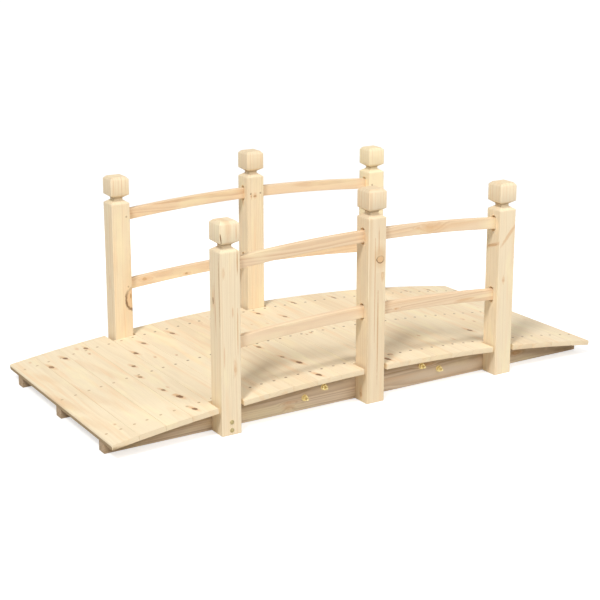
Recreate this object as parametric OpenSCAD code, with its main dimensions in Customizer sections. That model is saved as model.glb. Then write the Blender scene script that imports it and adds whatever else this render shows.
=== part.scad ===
// Garden bridge: an arched plank deck on three stringers, with posts and arched rails on both sides.
// X runs along the walk, Y across it and Z up, in millimetres.
// The origin lies on the ground under the middle of the deck.

/* [Deck] */
// Number of deck boards, one of them at the crown
board_count = 21; // [17:2:23]
// Width of a deck board, along the walk
board_w = 70.5; // [62:0.5:78]
// Thickness of a deck board
board_t = 14; // [10:0.5:22]
// Gap between neighbouring boards, measured on their undersides
board_gap = 0.4; // [0.3:0.1:5]
// Length of a full deck board, which is the width of the bridge over its posts
deck_w = 670; // [540:1:800]
// Small bevel along a board's two upper edges
board_arris = 0.5; // [0.3:0.1:3]
// Wider bevel along the outer upper edge of the first and the last board
end_bevel = 4; // [1:0.5:8]
// Room between the end of a short board and the post that it meets
short_board_room = 0.8; // [0.3:0.1:4]

/* [Stringers] */
// Height of a stringer at the crown of the arch
stringer_mid_h = 83.5; // [74:0.5:130]
// Radius of the arch along the stringers' upper edge
arch_r = 4970; // [4600:10:9000]
// Thickness of a stringer
stringer_t = 30; // [18:0.5:40]
// Distance that a stringer's end stays back from the deck's end
stringer_setback = 2; // [0:0.5:20]

/* [Splices] */
// Distance of the joint between two half stringers from the side of the middle post
joint_offset = 4; // [1:0.5:20]
// Saw gap in that joint
joint_gap = 0.4; // [0.1:0.1:2]
// Length of the splice board that laps the joint
splice_len = 500; // [300:5:600]
// Thickness of the splice board
splice_t = 20; // [12:0.5:30]
// Height of the splice board's lower edge above the ground
splice_lift = 8; // [2:0.5:12]
// Room between the splice board's upper corners and the top of the stringer
splice_drop = 6; // [2:0.5:16]

/* [Posts] */
// Side of a square post
post_side = 54; // [46:0.5:60]
// Height of the four end posts
end_post_h = 535; // [440:1:700]
// How much taller the two middle posts are
mid_post_rise = 30; // [0:1:60]
// Number of boards from the crown to the end posts
post_step = 6; // [5:1:8]
// Height of the cap above the groove's upper edge
cap_h = 50; // [30:0.5:60]
// Depth of the groove under the cap
groove_d = 14; // [4:0.5:18]
// Height of the groove, between the cap's lower edge and the shoulder
groove_h = 24; // [16:0.5:32]
// Height of the straight neck at the bottom of the groove
neck_h = 6; // [1:0.5:12]
// Bevel round the top of the cap
cap_bevel = 7; // [1:0.5:12]
// Small bevel down a post's four upright edges
post_arris = 1.5; // [0.5:0.1:4]

/* [Rails] */
// Height of a rail's section
rail_h = 30; // [20:0.5:36]
// Thickness of a rail
rail_t = 16; // [10:0.5:22]
// Radius of a rail's middle line
rail_r = 4300; // [3600:10:9000]
// Height of the middle posts' tops above the top rail's middle line, at the crown
top_rail_drop = 122; // [100:1:160]
// Height between the two rails' middle lines
rail_spacing = 199; // [120:1:220]
// Depth of the round-ended mortise that takes a rail's end
mortise_d = 16; // [8:0.5:22]
// Clearance on each cheek of a rail in its mortise
mortise_room = 0.2; // [0.1:0.05:0.5]
// Room above and below a rail, for its slope, before the mortise's round ends begin
slope_room = 1.2; // [0.8:0.1:3]
// Room between a rail's end and the bottom of its mortise
tenon_room = 0.5; // [0.2:0.1:3]

/* [Hidden] */
// Facets of a full circle, which are true arcs in the solids
arc_facets = 2880;
// How far a cut reaches past the face that it opens
cut_over = 1;

// Places along the walk are boards counted from the crown, negative to the left
last_board = (board_count - 1) / 2;
board_turn = (board_w + board_gap) / arch_r * 180 / PI;
arch_z = stringer_mid_h - arch_r;
deck_end_x = arch_r * sin(last_board * board_turn) + board_w / 2 * cos(last_board * board_turn);

// Across the walk the posts stand flush with the boards' ends, outside the outer stringers
post_y = (deck_w - post_side) / 2;
stringer_y = deck_w / 2 - post_side - stringer_t / 2;
short_board_len = deck_w - 2 * post_side - 2 * short_board_room;

stringer_end_x = deck_end_x - stringer_setback;
joint_x = post_side / 2 + joint_offset;
splice_h = arch_top(joint_x + splice_len / 2) - splice_drop - splice_lift;
tenon = mortise_d - tenon_room;
top_rail_z = end_post_h + mid_post_rise - top_rail_drop;

// Sides and rows across the walk, posts and halves along it, and rail levels
SIDES = [["near", -1], ["far", 1]];
ROWS = [["near", -1], ["middle", 0], ["far", 1]];
STANDS = [["left", -1], ["middle", 0], ["right", 1]];
HALVES = [["left", -1], ["right", 1]];
LEVELS = [["low", 0], ["top", 1]];

deck_tint = [0.93, 0.82, 0.64];
post_tint = [0.92, 0.84, 0.66];
rail_tint = [0.89, 0.75, 0.59];
stringer_tint = [0.76, 0.63, 0.47];

function board_name(k) = let (n = k + last_board + 1) str("deck_board_", n < 10 ? "0" : "", n);
function post_name(side, stand) = str(side[0], "_", stand[0], "_post");
function rail_name(side, half, level) = str(side[0], "_", half[0], "_", level[0], "_rail");
function stringer_name(row, half) = str(row[0], "_stringer_", half[0]);
function splice_name(row) = str(row[0], "_splice");

function arch_top(x) = arch_z + sqrt(arch_r * arch_r - x * x);
function post_x(stand) = arch_r * sin(stand[1] * post_step * board_turn);
function post_h(stand) = end_post_h + (stand[1] == 0 ? mid_post_rise : 0);
function rail_crown_z(level) = top_rail_z - (1 - level[1]) * rail_spacing;
function rail_z(level, x) = rail_crown_z(level) - rail_r + sqrt(rail_r * rail_r - x * x);
function at_post(k) = k % post_step == 0 && abs(k) <= post_step;

// A profile drawn in X and Z, stretched across the walk
module across(width) {
    rotate([90, 0, 0])
        linear_extrude(width, center = true)
            children();
}

// A board's section, with a bevel on its left and on its right upper edge
module board_section(left_bevel, right_bevel) {
    half = board_w / 2;
    polygon([
        [-half, 0],
        [half, 0],
        [half, board_t - right_bevel],
        [half - right_bevel, board_t],
        [left_bevel - half, board_t],
        [-half, board_t - left_bevel]
    ]);
}

// A flat board laid on the arch, its underside tangent to the stringers' upper edge
module deck_board(k) {
    length = at_post(k) ? short_board_len : deck_w;
    left_bevel = k == -last_board ? end_bevel : board_arris;
    right_bevel = k == last_board ? end_bevel : board_arris;
    color(deck_tint)
        translate([0, 0, arch_z])
            rotate([0, k * board_turn, 0])
                translate([0, 0, arch_r])
                    across(length) board_section(left_bevel, right_bevel);
}

// A post seen from one side: shaft, shoulder, neck, cap and the bevel on top
module post_silhouette(height) {
    half = post_side / 2;
    groove_top = height - cap_h;
    groove_mid = groove_top - groove_h / 2;
    right_edge = [
        [half, 0],
        [half, groove_top - groove_h],
        [half - groove_d, groove_mid - neck_h / 2],
        [half - groove_d, groove_mid + neck_h / 2],
        [half, groove_top],
        [half, height - cap_bevel],
        [half - cap_bevel, height]
    ];
    left_edge = [for (i = [len(right_edge) - 1 : -1 : 0]) [-right_edge[i][0], right_edge[i][1]]];
    polygon(concat(right_edge, left_edge));
}

// A post seen from above: a square with its corners taken off
module post_plan() {
    half = post_side / 2;
    inset = half - post_arris;
    polygon([
        [half, -inset], [half, inset], [inset, half], [-inset, half],
        [-half, inset], [-half, -inset], [-inset, -half], [inset, -half]
    ]);
}

// A round-ended slot, cut into the face that looks along +X at x = 0
module mortise() {
    slot_w = rail_t + 2 * mortise_room;
    slot_h = rail_h + 2 * slope_room;
    translate([-mortise_d, 0, 0])
        rotate([90, 0, 90])
            linear_extrude(mortise_d + cut_over) {
                square([slot_w, slot_h], center = true);
                for (end = [-1, 1])
                    translate([0, end * slot_h / 2])
                        circle(d = slot_w, $fn = 48);
            }
}

module post(side, stand) {
    x = post_x(stand);
    toward_rails = [for (way = [-1, 1]) if (abs(stand[1] + way) <= 1) way];
    color(post_tint)
        translate([x, side[1] * post_y, 0])
            difference() {
                intersection() {
                    across(post_side) post_silhouette(post_h(stand));
                    rotate([0, 0, 90])
                        across(post_side) post_silhouette(post_h(stand));
                    linear_extrude(post_h(stand)) post_plan();
                }
                for (way = toward_rails, level = LEVELS)
                    translate([way * post_side / 2, 0, rail_z(level, x + way * (post_side - mortise_d) / 2)])
                        rotate([0, 0, way < 0 ? 180 : 0])
                            mortise();
            }
}

// A rail cut from a board to a curve, reaching from mortise to mortise
module rail(side, half, level) {
    from_stand = half[1] < 0 ? STANDS[0] : STANDS[1];
    to_stand = half[1] < 0 ? STANDS[1] : STANDS[2];
    from_x = post_x(from_stand) + post_side / 2 - tenon;
    to_x = post_x(to_stand) - post_side / 2 + tenon;
    color(rail_tint)
        translate([0, side[1] * post_y, rail_crown_z(level) - rail_r])
            across(rail_t)
                intersection() {
                    difference() {
                        circle(rail_r + rail_h / 2, $fn = arc_facets);
                        circle(rail_r - rail_h / 2, $fn = arc_facets);
                    }
                    translate([from_x, 0])
                        square([to_x - from_x, rail_r + rail_h]);
                }
}

// Half of a stringer: flat on the ground and arched on top, ending at the joint behind the middle post
module half_stringer(row, half) {
    from_x = half[1] < 0 ? -stringer_end_x : joint_x + joint_gap / 2;
    to_x = half[1] < 0 ? joint_x - joint_gap / 2 : stringer_end_x;
    color(stringer_tint)
        translate([0, row[1] * stringer_y, 0])
            across(stringer_t)
                intersection() {
                    translate([0, arch_z])
                        circle(arch_r, $fn = arc_facets);
                    translate([from_x, 0])
                        square([to_x - from_x, stringer_mid_h + board_t]);
                }
}

// A plain board lapped over the joint, on the side of the stringer that looks to the middle of the bridge
module splice(row) {
    inward = row[1] > 0 ? -1 : 1;
    y = row[1] * stringer_y + inward * (stringer_t + splice_t) / 2;
    color(stringer_tint)
        translate([joint_x - splice_len / 2, y - splice_t / 2, splice_lift])
            cube([splice_len, splice_t, splice_h]);
}

for (k = [-last_board : last_board])
    deck_board(k);

for (side = SIDES, stand = STANDS)
    post(side, stand);

for (side = SIDES, half = HALVES, level = LEVELS)
    rail(side, half, level);

for (row = ROWS, half = HALVES)
    half_stringer(row, half);

for (row = ROWS)
    splice(row);
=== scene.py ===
"""Dresses the arched garden footbridge: planed pine timbers, its fasteners, a pale stage and a camera."""
import math

import bpy
import numpy as np
from bpy.props import FloatProperty, FloatVectorProperty, IntProperty, PointerProperty
from bpy.types import NodeSocket, Operator, Panel, PropertyGroup
from mathutils import Matrix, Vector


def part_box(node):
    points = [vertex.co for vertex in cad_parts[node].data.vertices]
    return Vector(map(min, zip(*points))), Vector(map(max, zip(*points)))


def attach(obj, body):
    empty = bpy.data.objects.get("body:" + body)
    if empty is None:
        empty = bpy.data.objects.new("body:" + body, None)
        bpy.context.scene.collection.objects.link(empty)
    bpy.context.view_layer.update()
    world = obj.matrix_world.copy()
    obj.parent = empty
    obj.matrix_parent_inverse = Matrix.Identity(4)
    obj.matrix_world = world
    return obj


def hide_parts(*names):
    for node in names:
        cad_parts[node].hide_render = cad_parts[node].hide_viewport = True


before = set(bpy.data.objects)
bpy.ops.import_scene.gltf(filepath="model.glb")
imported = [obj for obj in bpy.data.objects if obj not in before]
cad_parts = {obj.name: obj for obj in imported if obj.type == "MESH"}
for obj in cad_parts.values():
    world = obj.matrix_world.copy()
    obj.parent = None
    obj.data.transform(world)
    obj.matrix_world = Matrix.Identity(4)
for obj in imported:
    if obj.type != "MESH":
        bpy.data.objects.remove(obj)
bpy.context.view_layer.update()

bl_info = {
    "name": "Arched garden footbridge",
    "version": (1, 0, 0),
    "blender": (4, 5, 0),
    "location": "3D View > Sidebar > Footbridge",
    "description": "Planed pine timbers, fasteners and stage for the packed footbridge",
    "category": "Object",
}

SIDES = ("near", "far")
STANDS = ("left", "middle", "right")
HALVES = ("left", "right")
LEVELS = ("low", "top")
ROWS = ("near", "middle", "far")
BOARD_COUNT = 21
PALE_BOARDS = 5
WHITE = (1.0, 1.0, 1.0)

# First seed numbers of the logs. Boards have their own numbers from 1
POST_LOGS = 100
RAIL_LOGS = 200
STRINGER_LOGS = 300
NAIL_LOGS = 400

# Steps in a rounded corner, the corners' sides across and up, and the sharpest bend that is shaded softly
ARC_STEPS = 3
CORNERS = ((1, -1), (1, 1), (-1, 1), (-1, -1))
CREASE = math.radians(33)

# Longest side of a face across each kind of timber, and the width of the narrow faces beside an edge
BOARD_STEP = 0.012
POST_STEP = 0.0125
RAIL_STEP = 0.007
STRINGER_STEP = 0.011
RIM = 0.002

# A mark more than this many times longer than wide is a streak. A face thinner than this takes no mark
STREAK_RATIO = 5
THIN_FACE = 0.0003
NO_MARK = (50.0, 50.0, 0.0)

# How near to the deck's end a point counts as on its face, and how far under the bevel it has to lie
FACE_ROOM = 0.0002
BEVEL_ROOM = 0.0005

# End masks over 1 turn the wood towards a darker colour: on the outer faces of the deck's end boards, as
# painted shade under the cap in a post's groove, and as painted shadow of the deck in a band on the
# stringers, which fades out between two depths under the deck
DARK_END_FACE = 4.6
GROOVE_PAINTED_SHADE = (0.0, 3.6, 3.0)
UNDERDECK_PAINTED_SHADOW = (2.7, 0.0)
PAINTED_SHADOW_DEPTHS = (0.028, 0.046)


def tone(red, green, blue):
    """A colour as it shows on a screen, 0 to 255, turned into the linear values that a shader takes."""
    shown = np.array((red, green, blue)) / 255
    return tuple(np.where(shown <= 0.04045, shown / 12.92, ((shown + 0.055) / 1.055) ** 2.4).tolist())


def colour(name, description, default):
    """A colour property with its default."""
    return FloatVectorProperty(
        name=name, description=description, default=default, size=3, min=0, max=1, subtype="COLOR")


def quantity(name, description, default, **settings):
    """A number property with its default and other settings."""
    return FloatProperty(name=name, description=description, default=default, **settings)


def length(name, description, default):
    """A length property in metres with its default."""
    return quantity(name, description, default, min=0, max=10, precision=4, unit="LENGTH")


def degrees(name, description, default):
    """An angle property with its default in degrees."""
    return quantity(name, description, math.radians(default), subtype="ANGLE")


class TimberSizes(PropertyGroup):
    """Sizes of the timbers that their boxes in the frame don't give."""
    arch_radius: length("Arch radius", "Radius of the stringers' upper edge", 4.97)
    rail_radius: length("Rail radius", "Radius of a rail's middle line", 4.3)
    rail_height: length("Rail height", "Height of a rail's section", 0.030)
    board_width: length("Board width", "Width of a deck board along the walk", 0.0705)
    board_gap: length("Board gap", "Gap between the undersides of two boards", 0.0004)
    board_thickness: length("Board thickness", "Thickness of a deck board", 0.014)
    end_bevel: length("End bevel", "Bevel on the outer edge of the first and last board", 0.004)
    cap_height: length("Cap height", "Height of a post's cap over its groove", 0.050)
    groove_depth: length("Groove depth", "Depth of the groove under a cap", 0.014)
    groove_height: length("Groove height", "Height of the groove under a cap", 0.024)
    neck_height: length("Neck height", "Height of the straight neck in the groove", 0.006)
    cap_bevel: length("Cap bevel", "Bevel round the top of a cap", 0.007)
    mortise_depth: length("Mortise depth", "Depth of the slot that takes a rail", 0.016)
    mortise_room: length("Mortise room", "Clearance on each cheek of a rail", 0.0002)
    slope_room: length("Slope room", "Room above and below a rail before the slot's round ends", 0.0012)
    slot_crown: length("Slot crown", "Rise of a slot's round ends", 0.0058)
    board_ease: length("Board edge", "Rounding of a deck board's edges", 0.0004)
    tight_ease: length("Tight board edge", "Rounding of the pale boards' edges at the left end", 0.00012)
    rail_ease: length("Rail edge", "Rounding of a rail's edges", 0.0012)
    post_ease: length("Post edge", "Rounding of a post's upright edges", 0.0016)
    stringer_ease: length("Stringer edge", "Rounding of a stringer's edges", 0.0010)
    grid: length("Grid", "Longest side of a face along a timber", 0.022)


class PineColours(PropertyGroup):
    """Colours and figure of the planed pine."""
    deck_early: colour("Deck pale wood", "Wide pale part of a deck board's rings", tone(250, 232, 199))
    deck_late: colour("Deck ring lines", "Darker ring lines of a deck board", tone(226, 195, 150))
    post_early: colour("Post pale wood", "Wide pale part of a post's rings", tone(249, 230, 197))
    post_late: colour("Post ring lines", "Darker ring lines of a post", tone(224, 195, 152))
    rail_early: colour("Rail pale wood", "Wide pale part of a rail's rings", tone(246, 219, 184))
    rail_late: colour("Rail ring lines", "Darker ring lines of a rail", tone(214, 172, 130))
    stringer_early: colour("Stringer pale wood", "Wide pale part of a stringer's rings", tone(243, 222, 195))
    stringer_late: colour("Stringer ring lines", "Darker ring lines of a stringer", tone(188, 156, 122))
    blush: colour("Heartwood blush", "Warm streaks along the grain", tone(240, 200, 152))
    cream: colour("Cream patches", "Soft yellow patches in the wood", tone(255, 240, 198))
    halo: colour("Knot halo", "Resin-warm wood round a knot", tone(223, 166, 102))
    knot: colour("Knot", "Heart of a knot", tone(124, 84, 48))
    # A darker colour: on the deck's outer end faces, and as painted shade in the posts' grooves and painted
    # shadow on the stringers under the deck
    dark_face_and_painted_shade: colour("Rough faces", "Darker rough-sawn faces and creases", tone(164, 140, 108))
    ring_spacing: length("Ring spacing", "Distance between growth rings", 0.0042)
    ring_wander: length("Ring wander", "How far the rings stray along a timber", 0.013)
    seed: IntProperty(name="Log seed", description="Picks the logs of the timbers", default=7, min=0)


class FastenerSizes(PropertyGroup):
    """Sizes and colours of nails, screws and bolts."""
    nail_radius: length("Nail head radius", "Radius of a deck nail's head", 0.0039)
    nail_spread: length("Nail spread", "Distance of a nail from the middle of its board", 0.0175)
    nail_steel: colour("Nail steel", "Dull dark nail heads", tone(182, 152, 114))
    screw_radius: length("Screw head radius", "Radius of a rail screw's head", 0.0026)
    foot_radius: length("Foot bolt radius", "Radius of the bolt heads low on a post", 0.0058)
    foot_steel: colour("Foot bolt steel", "Dull olive bolt heads", tone(206, 190, 138))
    nut_radius: length("Nut radius", "Radius over a splice nut's corners", 0.0080)
    bolt_radius: length("Bolt radius", "Radius of a splice bolt's thread", 0.0040)
    yellow_zinc: colour("Yellow zinc", "Passivated zinc of the splice bolts", tone(255, 240, 180))


class StageSettings(PropertyGroup):
    """Camera, lamps and floor."""
    azimuth: degrees("Camera azimuth", "Turn of the view round the bridge", -31.729)
    elevation: degrees("Camera elevation", "Height of the view over the horizon", 14.001)
    across: quantity("Across", "Camera's place to the right of the aim", -0.0195, unit="LENGTH")
    above: quantity("Above", "Camera's place above the aim", 0.11057, unit="LENGTH")
    distance: quantity("Distance", "Camera's distance from the aim", 3.81574, unit="LENGTH")
    aim_height: quantity("Aim height", "Height of the aim over the ground", 0.25, unit="LENGTH")
    lens: quantity("Lens", "Focal length on a 36 mm sensor", 83.112, unit="CAMERA")
    rise: quantity("Rise", "Vertical shift of the lens", -0.1)
    sky: quantity("Sky", "Strength of the even light from all round", 0.325, min=0, max=4, subtype="FACTOR")
    key: quantity("Key", "Power of the lamp at the left front", 1130, unit="POWER")
    fill: quantity("Fill", "Power of the lamp at the front", 218, unit="POWER")
    floor: colour("Floor", "Pale floor", tone(212, 211, 209))


def plank_shares(span, step):
    """Places along a flat as shares of its span: a rim's width in from either end, even steps between."""
    inner = max(span - 2 * RIM, 1e-5)
    count = max(1, round(inner / step))
    return (RIM + inner * np.linspace(0, 1, count + 1)) / span


def eased_loops(half, low, high, ease, drawn, step):
    """Closed loops of a rectangle with rounded corners, one row for each station along a timber.

    A corner is a quarter circle about a centre that lies its ease in from both sides, its radius times
    the drawn share. A flat is the straight line from one arc's end to the next arc's start.
    Gives the across and up coordinates, one column for each point, and a mask that is 1 on the arcs.
    """
    quarter = np.linspace(0, math.pi / 2, ARC_STEPS + 1)
    arcs = []
    for number, (way, lift) in enumerate(CORNERS):
        angle = quarter + (number - 1) * math.pi / 2
        centre_across = way * (half - ease[number])
        centre_up = high - ease[number] if lift > 0 else low + ease[number]
        radius = (ease[number] * drawn)[:, None]
        arcs.append((
            centre_across[:, None] + radius * np.cos(angle),
            centre_up[:, None] + radius * np.sin(angle)))
    spans = ((high - low).max(), 2 * half.max())
    across, up, edge = [], [], []
    for number in range(4):
        here, after = arcs[number], arcs[(number + 1) % 4]
        part = plank_shares(spans[number % 2], step)
        across += [here[0], here[0][:, -1:] + (after[0][:, :1] - here[0][:, -1:]) * part]
        up += [here[1], here[1][:, -1:] + (after[1][:, :1] - here[1][:, -1:]) * part]
        edge += [np.ones(ARC_STEPS + 1), np.zeros(part.size)]
    return np.hstack(across), np.hstack(up), np.concatenate(edge)


def eased_stations(start, end, step, ease):
    """Stations along a timber from start to end, with the drawn share of its corner radius at each.

    Both ends are a quarter circle: a station at angle t lies ease times (1 - sin t) in from the end,
    and its corners keep cos t of their radius. Gives stations, drawn shares and a mask that is 1 on
    the end faces.
    """
    turn = np.radians((88.0, 60.0, 30.0))
    fading = np.array((1.0, 0.6, 0.2))
    nose = ease * (1 - np.sin(turn))
    count = max(1, round((end - start - 2 * ease - 2 * RIM) / step))
    inner = np.linspace(start + ease + RIM, end - ease - RIM, count + 1)
    along = np.concatenate((start + nose, [start + ease], inner, [end - ease], end - nose[::-1]))
    drawn = np.concatenate((np.cos(turn), np.ones(inner.size + 2), np.cos(turn[::-1])))
    ends = np.concatenate((fading, np.zeros(inner.size + 2), fading[::-1]))
    return along, drawn, ends


def loop_quads(index):
    """Quads between neighbouring loops of vertex numbers, whose last axis runs round a loop."""
    after = np.roll(index, -1, axis=-1)
    corners = (index[..., :-1, :], after[..., :-1, :], after[..., 1:, :], index[..., 1:, :])
    return np.stack(corners, axis=-1).reshape(-1, 4)


def closed_faces(index):
    """Faces of closed tubes: quads between the loops and one flat face over each end."""
    feet = index[..., 0, ::-1].reshape(-1, index.shape[-1])
    tops = index[..., -1, :].reshape(-1, index.shape[-1])
    return loop_quads(index).tolist() + feet.tolist() + tops.tolist()


def linked(name, data):
    """A new object in the scene that shows a mesh, a lamp or a camera."""
    piece = bpy.data.objects.new(name, data)
    bpy.context.scene.collection.objects.link(piece)
    return piece


def new_mesh(name, points, faces):
    """A mesh of points and faces."""
    mesh = bpy.data.meshes.new(name)
    mesh.from_pydata(points.reshape(-1, 3).tolist(), [], faces)
    return mesh


def skin(name, points, smooth=True, flat=2):
    """A closed piece over rows of loops. Its last flat faces, the ends of a timber, are not shaded softly."""
    index = np.arange(points.size // 3).reshape(points.shape[:-1])
    mesh = new_mesh(name, points, closed_faces(index))
    soft = np.full(len(mesh.polygons), smooth)
    soft[soft.size - flat:] = False
    mesh.polygons.foreach_set("use_smooth", soft)
    mesh.set_sharp_from_angle(angle=CREASE)
    mesh.update()
    return linked(name, mesh)


def laid(local, origin, axes):
    """Local points (along, across, up) carried to the part's frame by three axes and an origin."""
    return np.asarray(origin) + local @ np.asarray(axes)


def store(mesh, name, domain, values):
    """Keeps a vector for each vertex or face corner as a named attribute."""
    layer = mesh.attributes.new(name, "FLOAT_VECTOR", domain)
    layer.data.foreach_set("vector", np.ascontiguousarray(values, dtype=np.float32).ravel())


def give_figure(mesh, local, pith, edge, end, shade, knots):
    """Gives a timber the attributes that its wood is drawn from.

    grain is the local point moved so that the pith of its log runs along the first axis at zero. The
    pith's first number moves the timber along its log.
    finish holds the masks of eased edges, lightened partly as wear and partly as a painted highlight, and of
    cut ends, which also carry painted shade, and the timber's own shade.
    knot holds, for each face corner, how far it lies from the knot nearest to its face: along the grain
    and across it, both as shares of the knot's size, and the knot's strength. A knot leans by its own
    slope and stays off the faces that stand square to its sideways axis. pitch holds the same for marks
    that are drawn out into streaks.
    """
    pith_along, pith_across, pith_up = pith
    store(mesh, "grain", "POINT", local + np.array((pith_along, -pith_across, -pith_up)))
    store(mesh, "finish", "POINT", np.column_stack((edge, end, np.full(len(local), shade))))
    corner = np.empty(len(mesh.loops), dtype=np.int32)
    mesh.loops.foreach_get("vertex_index", corner)
    sides = np.empty(len(mesh.polygons), dtype=np.int32)
    mesh.polygons.foreach_get("loop_total", sides)
    starts = np.concatenate(([0], np.cumsum(sides)[:-1]))
    place = local[corner]
    middle = np.add.reduceat(place, starts, axis=0) / sides[:, None]
    spread = np.maximum.reduceat(place, starts, axis=0) - np.minimum.reduceat(place, starts, axis=0)
    for name, drawn_out in (("knot", False), ("pitch", True)):
        best = np.full(len(sides), 1e9)
        chosen = np.tile(NO_MARK, (len(corner), 1))
        for along, beside, half_long, half_wide, strength, lean, axis in knots:
            if (half_long > STREAK_RATIO * half_wide) != drawn_out:
                continue
            size = np.array((half_long, half_wide))

            def offset(points):
                run = points[:, 0] - along
                return np.column_stack((run, points[:, axis] - beside - lean * run))
            distance = np.linalg.norm(np.maximum(np.abs(offset(middle)) - size, 0), axis=1)
            nearer = (distance < best) & (spread[:, axis] > THIN_FACE)
            best = np.where(nearer, distance, best)
            taken = np.repeat(nearer, sides)
            chosen[taken] = np.column_stack((offset(place[taken]) / size, np.full(taken.sum(), strength)))
        store(mesh, name, "CORNER", chosen)


def timber(name, stations, half, low, high, ease, step, origin, axes):
    """A planed timber: rounded rectangles carried along its stations.

    Gives the piece, its local points, and the masks of its eased edges and its ends.
    """
    along, drawn, ends = stations
    half = np.broadcast_to(half, along.shape)
    across, up, edge = eased_loops(half, low, high, ease, drawn, step)
    local = np.stack((np.broadcast_to(along[:, None], across.shape), across, up), axis=-1)
    piece = skin(name, laid(local, origin, axes))
    edge_mask = np.broadcast_to(edge, across.shape).ravel()
    end_mask = np.broadcast_to(ends[:, None], across.shape).ravel()
    return piece, local.reshape(-1, 3), edge_mask, end_mask


def finish_piece(piece, material, slot, *nodes):
    """Gives a piece its material by name and its body, and hides the nodes that it stands for. Its slot is
    not used.
    """
    piece.data.materials.append(bpy.data.materials[material])
    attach(piece, "root")
    if nodes:
        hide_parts(*nodes)


def turned_heads(name, places, outward, radius, profile, segments, spin=0.0):
    """Heads turned about their own axis, one at each place.

    A point of the profile (share of the radius, height) goes round the outward axis at even angles, and
    every head is the same profile on its own pair of cross axes. A face closes its foot and its top.
    """
    places = np.asarray(places, dtype=float)
    outward = np.broadcast_to(np.asarray(outward, dtype=float), places.shape)
    guide = np.where(np.abs(outward[:, 2:]) > 0.9, (1.0, 0.0, 0.0), (0.0, 0.0, 1.0))
    first = np.cross(guide, outward)
    first /= np.linalg.norm(first, axis=1, keepdims=True)
    second = np.cross(outward, first)
    shares, height = np.asarray(profile, dtype=float).T
    angle = (spin + np.arange(segments) * 2 * math.pi / segments)[:, None]
    ring = first[:, None] * np.cos(angle) + second[:, None] * np.sin(angle)
    points = (places[:, None, None] + ring[:, None] * (radius * shares)[:, None, None]
              + outward[:, None, None] * height[:, None, None])
    return skin(name, points, flat=0)


class Wiring:
    """Adds nodes to one tree and joins them. Most methods give back an output socket."""

    def __init__(self, tree):
        self.tree = tree

    def add(self, kind, **settings):
        """A new node with some of its settings."""
        node = self.tree.nodes.new(kind)
        for name, value in settings.items():
            setattr(node, name, value)
        return node

    def feed(self, socket, value):
        """Joins a socket to another one, or sets it to a plain value."""
        if isinstance(value, NodeSocket):
            self.tree.links.new(value, socket)
        elif socket.type == "RGBA":
            socket.default_value = (*value[:3], 1.0)
        else:
            socket.default_value = value

    def fill(self, sockets, **values):
        """Joins or sets several sockets by their names."""
        for name, value in values.items():
            self.feed(sockets[name], value)

    def made(self, kind, *terms, **settings):
        """The outputs of a new node with its first inputs joined or set in order."""
        node = self.add(kind, **settings)
        for socket, term in zip(node.inputs, terms):
            self.feed(socket, term)
        return node.outputs

    def math(self, operation, *terms):
        """One step of arithmetic."""
        return self.made("ShaderNodeMath", *terms, operation=operation)[0]

    def times(self, first, second):
        """One value times another."""
        return self.math("MULTIPLY", first, second)

    def scaled(self, value, factor, offset):
        """A value times a factor, plus an offset."""
        return self.math("MULTIPLY_ADD", value, factor, offset)

    def vector(self, operation, *terms):
        """One step of vector arithmetic."""
        outputs = self.made("ShaderNodeVectorMath", *terms, operation=operation)
        return outputs["Value" if operation == "LENGTH" else "Vector"]

    def split(self, vector):
        """The three parts of a vector."""
        return tuple(self.made("ShaderNodeSeparateXYZ", vector))

    def join(self, *parts):
        """A vector of three parts."""
        return self.made("ShaderNodeCombineXYZ", *parts)[0]

    def noise(self, vector, cells, detail=2.0, roughness=0.5):
        """Noise from 0 to 1 with that many cells per metre along each axis."""
        node = self.add("ShaderNodeTexNoise", noise_dimensions="3D")
        place = self.vector("MULTIPLY", vector, cells)
        self.fill(node.inputs, Vector=place, Scale=1.0, Detail=detail, Roughness=roughness)
        return node.outputs["Fac"]

    def step(self, value, low, high, bottom=0.0, top=1.0):
        """A smooth step from bottom at low to top at high."""
        settings = {"interpolation_type": "SMOOTHSTEP", "clamp": True}
        return self.made("ShaderNodeMapRange", value, low, high, bottom, top, **settings)[0]

    def mix(self, factor, first, second, blend="MIX"):
        """Two colours mixed by a factor."""
        node = self.add("ShaderNodeMix", data_type="RGBA", blend_type=blend, clamp_factor=True)
        for number, term in ((0, factor), (6, first), (7, second)):
            self.feed(node.inputs[number], term)
        return node.outputs[2]

    def blend(self, factor, first, second):
        """Two shaders mixed by a factor."""
        return self.made("ShaderNodeMixShader", factor, first, second)[0]

    def sight(self):
        """Two masks of rays: those from the camera, a mirror or glass, and those from the camera alone."""
        rays = self.add("ShaderNodeLightPath").outputs
        straight = rays["Is Camera Ray"]
        bent = self.math("MAXIMUM", rays["Is Glossy Ray"], rays["Is Transmission Ray"])
        return self.math("MAXIMUM", straight, bent), straight

    def attribute(self, name):
        """A vector attribute of the piece."""
        node = self.add("ShaderNodeAttribute", attribute_type="GEOMETRY", attribute_name=name)
        return node.outputs["Vector"]

    def group(self, name, **values):
        """The outputs of a placed node group with its inputs joined or set."""
        node = self.add("ShaderNodeGroup", node_tree=bpy.data.node_groups[name])
        self.fill(node.inputs, **values)
        return node.outputs

    def show(self, kind, shader):
        """Ends the tree with an output that shows a shader."""
        self.feed(self.add(kind).inputs["Surface"], shader)


def new_group(name, inputs, outputs):
    """An empty node group with sockets by kind. Gives its wiring and its input and output sockets."""
    tree = bpy.data.node_groups.new(name, "ShaderNodeTree")
    for direction, kinds in (("INPUT", inputs), ("OUTPUT", outputs)):
        for kind, names in kinds.items():
            for socket in names:
                tree.interface.new_socket(name=socket, in_out=direction, socket_type=f"NodeSocket{kind}")
    wire = Wiring(tree)
    return wire, wire.add("NodeGroupInput").outputs, wire.add("NodeGroupOutput").inputs


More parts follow.
